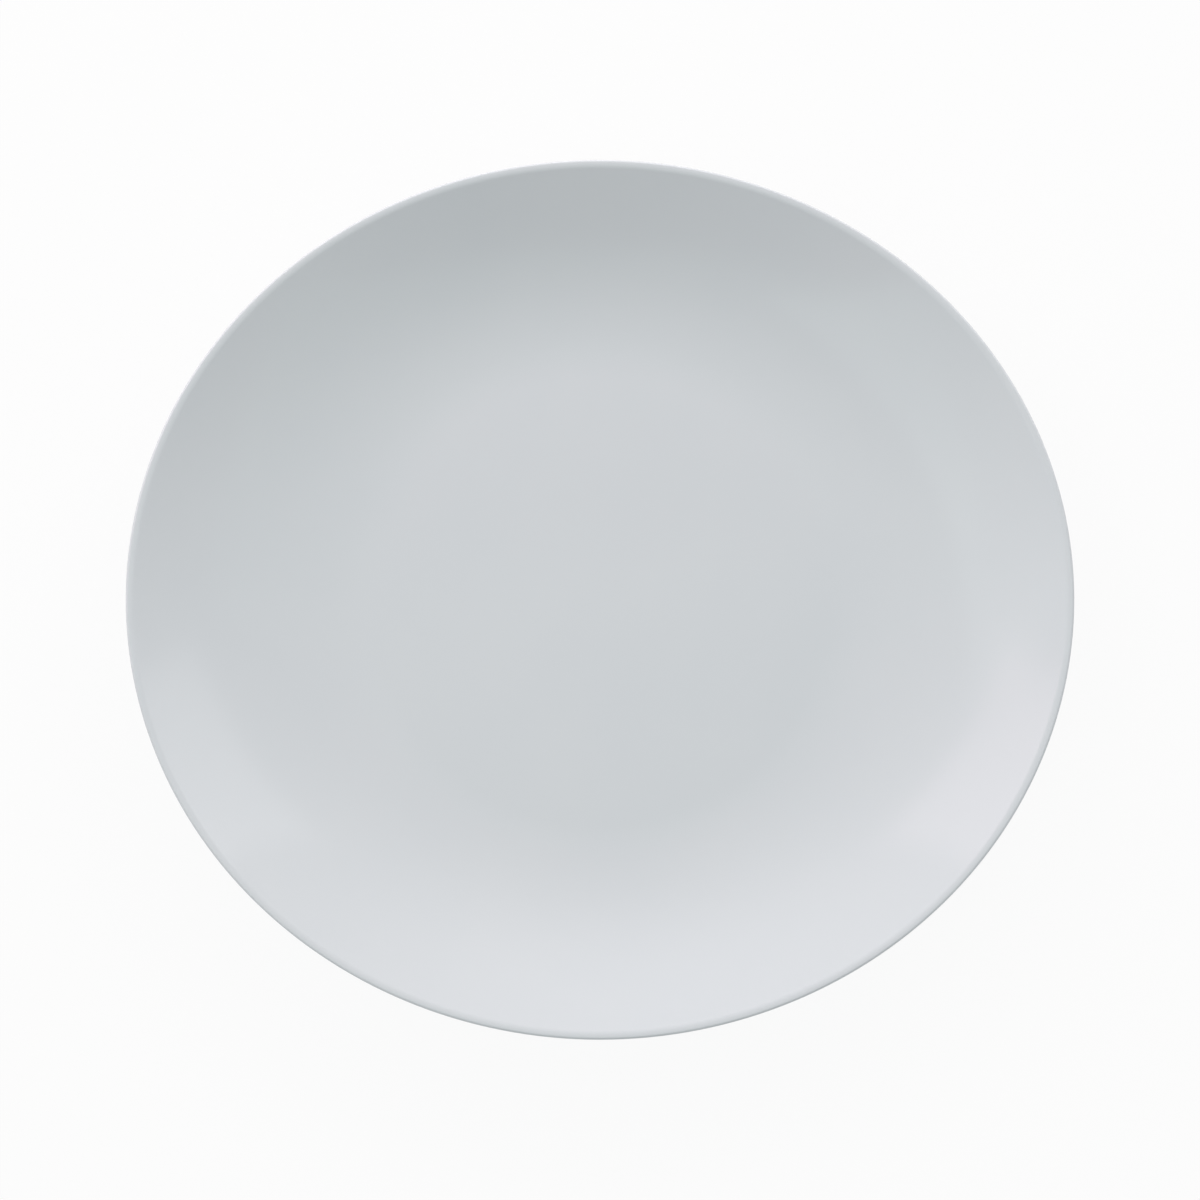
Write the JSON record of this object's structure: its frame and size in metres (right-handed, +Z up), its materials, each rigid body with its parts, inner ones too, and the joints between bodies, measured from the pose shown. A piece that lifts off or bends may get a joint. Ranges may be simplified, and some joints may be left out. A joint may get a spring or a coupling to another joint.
{
  "type": "oval plate",
  "caption": "Plain white oval coupe plate in glazed porcelain, with a round flat well, a smooth rising wall, a thin round lip and a foot ring with a bare bearing edge.",
  "frame": {"origin": "middle of the plate's outline, on the surface that the foot ring stands on", "axes": "+X along the plate's length, +Y along its width, +Z up out of the well"},
  "size_m": [0.28, 0.26, 0.0275],
  "materials": {
    "bare_porcelain": "fired and unglazed, ground smooth at the bearing edge",
    "white_glaze": "soft gloss"
  },
  "bodies": {
    "root": {"porcelain_body": "bare_porcelain", "face_glaze": "white_glaze", "back_glaze": "white_glaze", "base_glaze": "white_glaze"}
  },
  "joints": []
}
